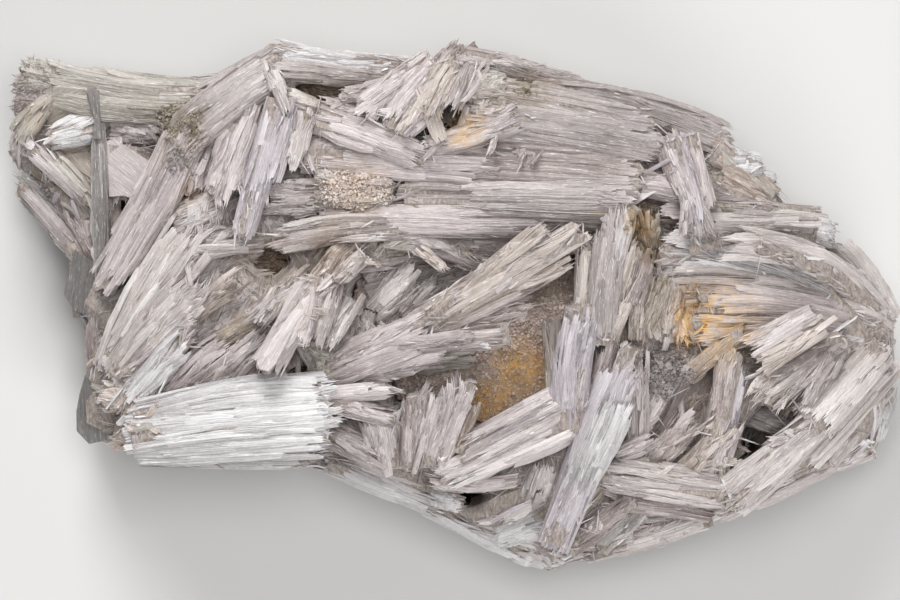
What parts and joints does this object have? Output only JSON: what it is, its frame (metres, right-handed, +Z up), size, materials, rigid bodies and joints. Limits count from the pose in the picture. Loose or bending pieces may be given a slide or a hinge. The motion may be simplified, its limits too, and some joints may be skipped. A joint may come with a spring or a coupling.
{
  "type": "tremolite specimen",
  "caption": "Mass of fibrous tremolite: sheaves of silky blade crystals that cross one another around a stained, granular hollow, resting on a flat sawn back",
  "frame": {"origin": "on the flat back, in the plane it rests on, below the middle of the picture side of the specimen", "axes": "+X along the long side, towards the end where the big fan of blades comes to a point; +Y across the specimen, away from the pointed foot; +Z up from the flat back to the crystals"},
  "size_m": [0.179, 0.106, 0.0481],
  "materials": {
    "fibrous_tremolite": "silky, fibrous",
    "granular_crust": "rough, granular, iron stained"
  },
  "bodies": {
    "root": {"crystal_mass": "fibrous_tremolite", "granular_crust": "granular_crust"}
  },
  "joints": []
}
